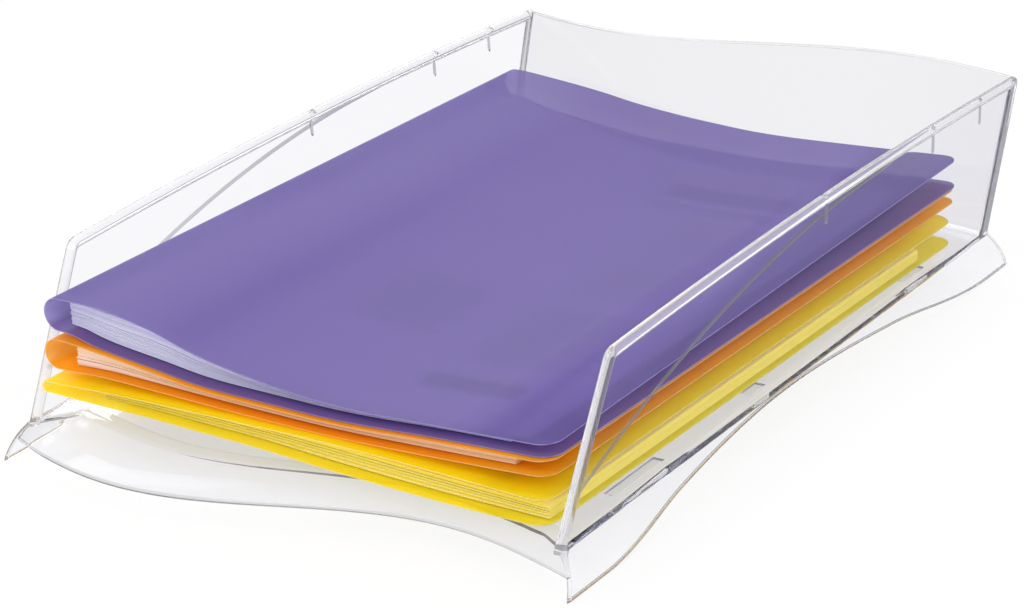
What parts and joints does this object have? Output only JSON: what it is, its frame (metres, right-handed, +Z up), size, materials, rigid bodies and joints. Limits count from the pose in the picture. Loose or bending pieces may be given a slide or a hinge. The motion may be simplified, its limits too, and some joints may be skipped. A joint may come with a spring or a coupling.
{
  "type": "letter tray with document folders",
  "caption": "Clear one-piece letter tray with waved rear wall, lip and arched skirts, holding folded colour folders of paper that slide out of its open front.",
  "frame": {"origin": "on the surface the feet stand on, under the middle of the tray's length and width", "axes": "+X across the tray to the right seen from its open front, +Y to the rear wall, +Z up"},
  "size_m": [0.2708, 0.411, 0.0851],
  "materials": {
    "clear_polystyrene": "clear polished injection moulding",
    "violet_polypropylene": "translucent film with a fine matte grain",
    "orange_polypropylene": "translucent film with a fine matte grain",
    "yellow_polypropylene": "translucent film with a fine matte grain",
    "white_paper": "uncoated office paper, cut edges",
    "printed_paper": "uncoated office paper with plain grey blocks in place of print"
  },
  "bodies": {
    "tray": {"tray_moulding": "clear_polystyrene"},
    "violet_folder": {"violet_folder": "violet_polypropylene"},
    "violet_sheaf": {"violet_sheaf": "white_paper", "violet_cover_sheet": "printed_paper"},
    "orange_folder": {"orange_folder": "orange_polypropylene"},
    "orange_sheaf": {"orange_sheaf": "white_paper"},
    "yellow_folder": {"yellow_folder": "yellow_polypropylene"},
    "yellow_sheaf": {"yellow_sheaf": "white_paper"}
  },
  "joints": [
    {"name": "violet_folder_slide", "type": "slide", "parent": "tray", "child": "violet_folder", "axis": [0, -0.9999, 0.0135], "range_m": [0, 0.37]},
    {"name": "violet_sheaf_slide", "type": "slide", "parent": "violet_folder", "child": "violet_sheaf", "axis": [0, -0.9999, 0.0135], "range_m": [0, 0.32]},
    {"name": "orange_folder_slide", "type": "slide", "parent": "tray", "child": "orange_folder", "axis": [0, -0.9999, 0.0135], "range_m": [0, 0.37]},
    {"name": "orange_sheaf_slide", "type": "slide", "parent": "orange_folder", "child": "orange_sheaf", "axis": [0, -0.9999, 0.0135], "range_m": [0, 0.32]},
    {"name": "yellow_folder_slide", "type": "slide", "parent": "tray", "child": "yellow_folder", "axis": [0, -0.9999, 0.0135], "range_m": [0, 0.37]},
    {"name": "yellow_sheaf_slide", "type": "slide", "parent": "yellow_folder", "child": "yellow_sheaf", "axis": [0, -0.9999, 0.0135], "range_m": [0, 0.32]}
  ]
}
